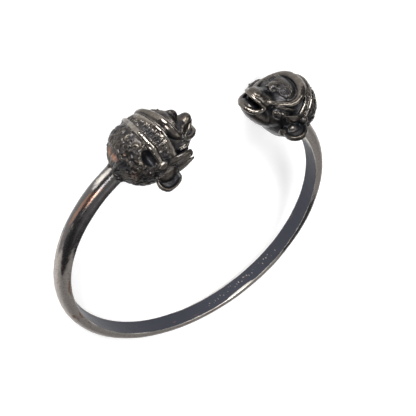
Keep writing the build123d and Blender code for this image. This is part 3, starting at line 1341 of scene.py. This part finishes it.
class Graph:
    """The node tree of a finish or of the world."""

    def __init__(self, owner: bpy.types.Material | bpy.types.World, shader: str = "Principled BSDF") -> None:
        """Take hold of a node tree.

        Args:
            owner: The new material or world.
            shader: The name of its shader node.
        """
        owner.use_nodes = True
        self.owner = owner
        self.tree = owner.node_tree
        self.shader = self.tree.nodes[shader]

    def feed(self, node: bpy.types.Node, inputs: dict[str | int, object]) -> None:
        """Give some inputs of a node a link or a constant.

        Args:
            node: The node.
            inputs: Values or constants by the name or number of the input.
        """
        for name, value in inputs.items():
            if isinstance(value, Value):
                self.tree.links.new(value.socket, node.inputs[name])
            else:
                node.inputs[name].default_value = value

    def node(
        self, kind: str, settings: dict[str, object], inputs: dict[str | int, object], out: str | int = 0
    ) -> Value:
        """Add one node.

        Args:
            kind: The node's type.
            settings: Its own settings, set before its inputs. A list under "stops" fills its ramp.
            inputs: Values or constants by the name or number of the input.
            out: The name or number of the output.

        Returns:
            The wrapped output.
        """
        added = self.tree.nodes.new(kind)
        for name, value in settings.items():
            if name == "stops":
                for element, (place, colour) in zip(added.color_ramp.elements, value, strict=True):
                    element.position = place
                    element.color = colour
            else:
                setattr(added, name, value)
        self.feed(added, inputs)
        return Value(self, added.outputs[out])

    def attribute(self, name: str) -> Value:
        """A number kept on each vertex."""
        return self.node("ShaderNodeAttribute", {"attribute_name": name}, {}, "Fac")

    def grain(self, scale: float, detail: float = 3.0) -> Value:
        """Make noise in object coordinates.

        Args:
            scale: Its frequency, per metre.
            detail: How many octaves.

        Returns:
            Noise from 0 to 1 about 0.5.
        """
        place = self.node("ShaderNodeTexCoord", {}, {}, "Object")
        inputs = {"Vector": place, "Scale": scale, "Detail": detail, "Roughness": 0.55}
        return self.node("ShaderNodeTexNoise", {}, inputs, "Fac")

    def blend(self, share: object, first: object, second: object) -> Value:
        """Mix two colours.

        Args:
            share: 0 for the first, 1 for the second.
            first: A colour or its link.
            second: A colour or its link.

        Returns:
            The mixed colour.
        """
        settings = {"data_type": "RGBA", "clamp_factor": True}
        return self.node("ShaderNodeMix", settings, {0: share, 6: first, 7: second}, 2)

    def metal(self, colour: Value, metallic: object, rough: Value, height: Value, depth: float) -> None:
        """Feed the shader of a metal.

        Args:
            colour: Its colour.
            metallic: How metallic it is.
            rough: Its roughness.
            height: Its fine relief.
            depth: How deep that relief is, in metres.
        """
        relief = {"Strength": 0.3, "Distance": depth, "Height": height}
        surface = {"Base Color": colour, "Metallic": metallic, "Roughness": rough}
        self.feed(self.shader, {**surface, "Normal": self.node("ShaderNodeBump", {}, relief, "Normal")})


def tone(red: float, green: float, blue: float) -> Tone:
    """A linear colour with its alpha."""
    return (red, green, blue, 1.0)


@dataclass(frozen=True)
class DarkenedCasting:
    """Cast metal, darkened in its hollows by patina and by painted shade where the skin shelters itself, and
    worn bright on what stands proud.
    """

    # Near black for sheltered hollows: partly patina, partly painted shade.
    hollow_patina_and_shade: Tone = tone(0.009, 0.0095, 0.012)
    dark: Tone = tone(0.026, 0.025, 0.027)
    warm: Tone = tone(0.085, 0.072, 0.058)
    rubbed: Tone = tone(0.13, 0.114, 0.098)
    bright: Tone = tone(0.60, 0.57, 0.51)
    copper: Tone = tone(0.27, 0.14, 0.095)

    def make(self) -> bpy.types.Material:
        """Make the material.

        Returns:
            The material.
        """
        graph = Graph(bpy.data.materials.new("darkened_casting"))
        edge, proud = graph.attribute("edge"), graph.attribute("proud")
        hidden, spot = graph.attribute("shelter"), graph.attribute("copper_spot")
        polish = graph.attribute("polish")
        cloud, speck = graph.grain(420.0), graph.grain(2600.0, 2.0)
        worn = edge * 0.34 + proud * 0.10 + polish * 0.22 + (cloud - 0.5) * 0.7 + (speck - 0.5) * 0.3
        worn = worn.step(0.25, 1.05)
        # The open share falls where the skin hides the sky; there the colour goes to the near-black tone as
        # painted shade and patina.
        open_share = hidden.step(0.60, 0.05)
        coppery = (spot + (cloud - 0.5) * 0.9 + (speck - 0.5) * 0.5 + edge * 0.30).step(0.50, 0.95)
        colour = graph.blend((cloud + speck * 0.4 + proud * 0.1).step(0.55, 1.05), self.dark, self.warm)
        colour = graph.blend(polish * 0.8, colour, self.rubbed)
        colour = graph.blend(worn * open_share, colour, self.bright)
        colour = graph.blend(coppery * 0.85, colour, self.copper)
        # Painted shade with patina: sheltered spots are darkened to near black.
        colour = graph.blend(open_share, self.hollow_patina_and_shade, colour)
        rough = 0.29 - worn * 0.04 - polish * 0.15 + (speck - 0.5) * 0.10 + (1 - open_share) * 0.14
        height = speck * 0.6 + graph.grain(1300.0, 2.0) * 0.5
        graph.metal(colour, 0.60 + open_share * 0.40, rough, height, 0.00005)
        return graph.owner


@dataclass(frozen=True)
class HandledBand:
    """Smooth dark metal, rubbed grey by handling, with brown left in streaks along it."""

    flat: Tone = tone(0.046, 0.048, 0.060)
    grey: Tone = tone(0.40, 0.365, 0.335)
    dark: Tone = tone(0.085, 0.080, 0.080)
    shade: Tone = tone(0.20, 0.18, 0.165)
    # Pale bare metal for worn spots, also used for the painted highlight by the right head's neck.
    bare_and_highlight: Tone = tone(0.68, 0.64, 0.58)
    brown: Tone = tone(0.20, 0.115, 0.085)

    def make(self) -> bpy.types.Material:
        """Make the material.

        Returns:
            The material.
        """
        graph = Graph(bpy.data.materials.new("handled_band"))
        cloud, speck = graph.grain(110.0), graph.grain(2600.0, 3.0)
        inside, streak = graph.attribute("inside"), graph.attribute("streak")
        dark = (graph.attribute("dark") + streak * 0.5 + (cloud - 0.5) * 0.5).step(0.30, 0.65)
        # The worn share holds real wear and the painted highlight by the right head's neck; both take the
        # pale tone.
        worn = (graph.attribute("worn") + streak * 0.25 + (speck - 0.5) * 0.5).step(0.35, 0.85)
        brown = (graph.attribute("brown") + streak * 0.9 + (speck - 0.5) * 0.2).step(0.45, 0.85)
        colour = graph.blend((speck - 0.5) * 1.6 + 0.35, self.grey, self.shade)
        colour = graph.blend(dark, colour, self.dark)
        colour = graph.blend(inside, colour, self.flat)
        colour = graph.blend(brown * 0.9, colour, self.brown)
        colour = graph.blend(worn * 0.9, colour, self.bare_and_highlight)
        smooth = dark * (1 - inside)
        rough = 0.50 - smooth * 0.26 - inside * 0.08 - worn * 0.12 + (speck - 0.5) * 0.24 + streak * 0.05
        height = speck * 0.6 + graph.grain(900.0, 4.0) * 0.5
        graph.metal(colour, 1.0, rough, height, 0.00006)
        return graph.owner


# The setting


@dataclass(frozen=True)
class Lamp:
    """A square soft light: its degrees to the left of the camera and above the floor, size and power."""

    name: str
    turn: float
    rise: float
    size: float
    power: float


@dataclass
class Studio:
    """The pale floor, the soft lights and the camera."""

    azimuth: float = 32.4
    elevation: float = 34.6
    roll: float = -218.2
    distance: float = 4.766
    lens: float = 59.99
    shift: tuple[float, float] = (0.02548, 0.05288)
    floor_tone: Tone = tone(0.93, 0.93, 0.93)
    floor_glow: float = 0.20
    world_stops: tuple[tuple[float, float], ...] = ((0.0, 0.45), (0.55, 0.13))
    lamp_distance: float = 0.6
    lamps: tuple[Lamp, ...] = (
        Lamp("front", -14.0, 20.0, 0.26, 4.2),
        Lamp("window", -51.0, 42.0, 0.24, 1.3),
        Lamp("lamp", 40.0, 42.0, 0.14, 1.1),
        Lamp("ceiling", 0.0, 88.0, 0.90, 1.7),
        Lamp("sky", 180.0, 60.0, 0.40, 0.5),
    )

    def camera_matrix(self) -> Matrix:
        """Work out where the camera stands and how it is turned.

        Returns:
            Its matrix, in metres.
        """
        turn, rise, roll = (math.radians(angle) for angle in (self.azimuth, self.elevation, self.roll))
        flat = RING.gapward * math.cos(turn) + RING.across * math.sin(turn)
        back = flat * math.cos(rise) + RING.along * math.sin(rise)
        right = RING.along.cross(back).normalized()
        up = back.cross(right)
        wide = right * math.cos(roll) + up * math.sin(roll)
        high = up * math.cos(roll) - right * math.sin(roll)
        matrix = Matrix((wide, high, back)).transposed().to_4x4()
        matrix.translation = (Vector(RING.middle) + back * self.distance * RING.radius) * MM
        return matrix

    def build(self) -> None:
        """Set up the camera, the floor and the lights."""
        camera = bpy.data.objects.new("camera", bpy.data.cameras.new("camera"))
        bpy.context.collection.objects.link(camera)
        camera.matrix_world = self.camera_matrix()
        camera.data.sensor_width = 36.0
        camera.data.lens = self.lens
        camera.data.shift_x, camera.data.shift_y = self.shift
        camera.data.clip_start = 0.005
        bpy.context.scene.camera = camera
        self.floor()
        self.world()
        self.lights()

    def floor(self) -> None:
        """A plain pale floor with a weak glow, as on a light table."""
        bpy.ops.mesh.primitive_plane_add(size=4.0)
        floor = bpy.context.object
        floor.name = "floor"
        graph = Graph(bpy.data.materials.new("pale_floor"))
        glow = {"Emission Color": tone(1.0, 1.0, 1.0), "Emission Strength": self.floor_glow}
        graph.feed(graph.shader, {"Base Color": self.floor_tone, "Roughness": 0.9, **glow})
        floor.data.materials.append(graph.owner)

    def world(self) -> None:
        """A grey room that darkens towards the ceiling, and a plain view of its tones."""
        world = bpy.data.worlds.new("pale_room")
        graph = Graph(world, "Background")
        place = graph.node("ShaderNodeTexCoord", {}, {}, "Generated")
        height = graph.node("ShaderNodeSeparateXYZ", {}, {"Vector": place}, "Z")
        stops = [(share, tone(grey, grey, grey * 1.02)) for share, grey in self.world_stops]
        colour = graph.node("ShaderNodeValToRGB", {"stops": stops}, {"Fac": height}, "Color")
        graph.feed(graph.shader, {"Color": colour})
        bpy.context.scene.world = world
        bpy.context.scene.view_settings.view_transform = "Standard"

    def lights(self) -> None:
        """The soft lights, placed about the cuff by their turn from the camera."""
        middle = Vector(RING.middle) * MM
        up = Vector((0.0, 0.0, 1.0))
        back = (self.camera_matrix().translation - middle).normalized()
        flat = Vector((back.x, back.y, 0.0)).normalized()
        left = up.cross(flat)
        for lamp in self.lamps:
            turn, rise = math.radians(lamp.turn), math.radians(lamp.rise)
            way = (flat * math.cos(turn) + left * math.sin(turn)) * math.cos(rise) + up * math.sin(rise)
            light = bpy.data.lights.new(lamp.name, "AREA")
            light.shape = "SQUARE"
            light.size = lamp.size
            light.energy = lamp.power
            stand = bpy.data.objects.new(lamp.name, light)
            bpy.context.collection.objects.link(stand)
            stand.location = middle + way * self.lamp_distance
            stand.rotation_euler = way.to_track_quat("Z", "Y").to_euler()


def dress(piece: bpy.types.Object, material: bpy.types.Material) -> None:
    """Give a piece its finish and tie it to the cast cuff.

    Args:
        piece: The finished piece.
        material: Its finish.
    """
    piece.data.materials.clear()
    piece.data.materials.append(material)
    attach(piece, "root")
    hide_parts("cuff")
    LOG.info("%s: %d faces", piece.name, len(piece.data.polygons))


def main() -> None:
    """Build the cuff and its setting."""
    logging.basicConfig(level=logging.INFO, format="%(name)s %(message)s")
    Studio().build()
    dress(Band().build(), HandledBand().make())
    casting = DarkenedCasting().make()
    right_head = MonkeyHead(
        name="right_head",
        seat=Seat(Side.RIGHT, out=-0.4, lift=0.4),
        seed=7,
        skew=0.25,
        yaw=0.36,
        pinch=0.22,
        cheek_lift=0.0,
        leaf_reach=0.93,
        ear_place=(0.05, -0.50, 1.10),
        ear_facing=(0.51, 0.75, 0.42),
        ear_size=0.82,
        nose_size=1.26,
    )
    left_head = MonkeyHead(
        name="left_head",
        seat=Seat(Side.LEFT, out=1.0, lift=-0.5),
        seed=11,
        skew=-0.26,
        yaw=0.0,
        pinch=0.0,
        cheek_lift=0.2,
        leaf_reach=0.62,
        ear_place=(0.22, -0.30, 1.12),
        ear_facing=(0.80, 0.60, 0.05),
        ear_size=1.02,
    )
    for head in (right_head, left_head):
        dress(head.build(), casting)


if __name__ == "__main__":
    main()
